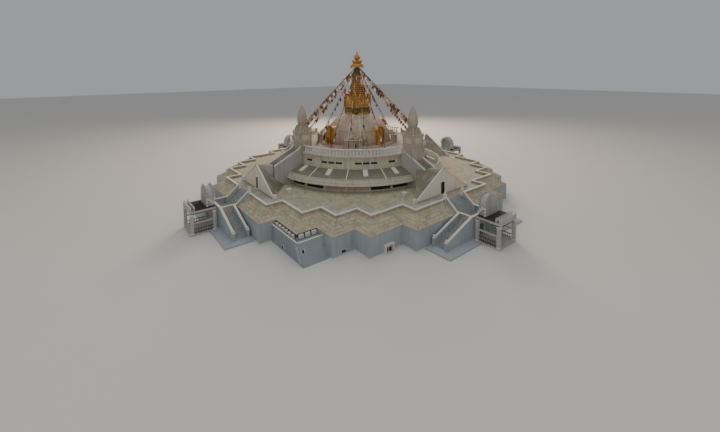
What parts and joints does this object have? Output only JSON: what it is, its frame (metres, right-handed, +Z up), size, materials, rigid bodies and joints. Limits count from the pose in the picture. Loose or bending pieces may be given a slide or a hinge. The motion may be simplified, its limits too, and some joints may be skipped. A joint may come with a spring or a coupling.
{
  "type": "one-tenth scale model of a round stupa on a stepped base",
  "caption": "Scale model of a white domed stupa with a golden ringed spire on a round gallery, stone-clad stepped base, gabled wings, stairs and porches.",
  "frame": {"origin": "centre of the base on the ground, under the spire", "axes": "+Z up along the spire; the four stairs face +X, +Y, -X and -Y; the annex is in the corner between +X and -Y"},
  "size_m": [9.176, 9.176, 3.925],
  "materials": {
    "white_render": "painted render",
    "stone_cladding": "split stone slabs",
    "grey_roofing": "weathered sheet",
    "floor_concrete": "plain",
    "gilded_copper": "gilded",
    "flag_line": "woven"
  },
  "bodies": {
    "root": {"ground_floor": "floor_concrete", "upper_floor": "floor_concrete", "lower_wall_ne": "white_render", "lower_wall_nw": "white_render", "lower_wall_sw": "white_render", "lower_wall_se": "white_render", "rampart_ne": "stone_cladding", "rampart_nw": "stone_cladding", "rampart_sw": "stone_cladding", "rampart_se": "stone_cladding", "upper_slope_ne": "stone_cladding", "upper_slope_nw": "stone_cladding", "upper_slope_sw": "stone_cladding", "upper_slope_se": "stone_cladding", "gallery_ne": "white_render", "gallery_nw": "white_render", "gallery_sw": "white_render", "gallery_se": "white_render", "ring_roof_ne": "grey_roofing", "ring_roof_nw": "grey_roofing", "ring_roof_sw": "grey_roofing", "ring_roof_se": "grey_roofing", "balustrade_ne": "white_render", "balustrade_nw": "white_render", "balustrade_sw": "white_render", "balustrade_se": "white_render", "wing_east": "white_render", "wing_north": "white_render", "wing_west": "white_render", "wing_south": "white_render", "pier_spire_east": "white_render", "pier_spire_south": "white_render", "niche_east": "gilded_copper", "niche_north": "gilded_copper", "niche_west": "gilded_copper", "niche_south": "gilded_copper", "upper_stair_east": "white_render", "upper_stair_north": "white_render", "upper_stair_west": "white_render", "upper_stair_south": "white_render", "lower_stair_east": "white_render", "lower_stair_north": "white_render", "lower_stair_west": "white_render", "lower_stair_south": "white_render", "pavilion_east": "white_render", "pavilion_north": "white_render", "pavilion_west": "white_render", "pavilion_south": "white_render", "drum": "white_render", "terrace": "white_render", "dome_plinth": "white_render", "dome": "white_render", "harmika": "gilded_copper", "spire": "gilded_copper", "umbrella": "gilded_copper", "finial": "gilded_copper", "annex": "white_render", "flag_lines": "flag_line"}
  },
  "joints": []
}
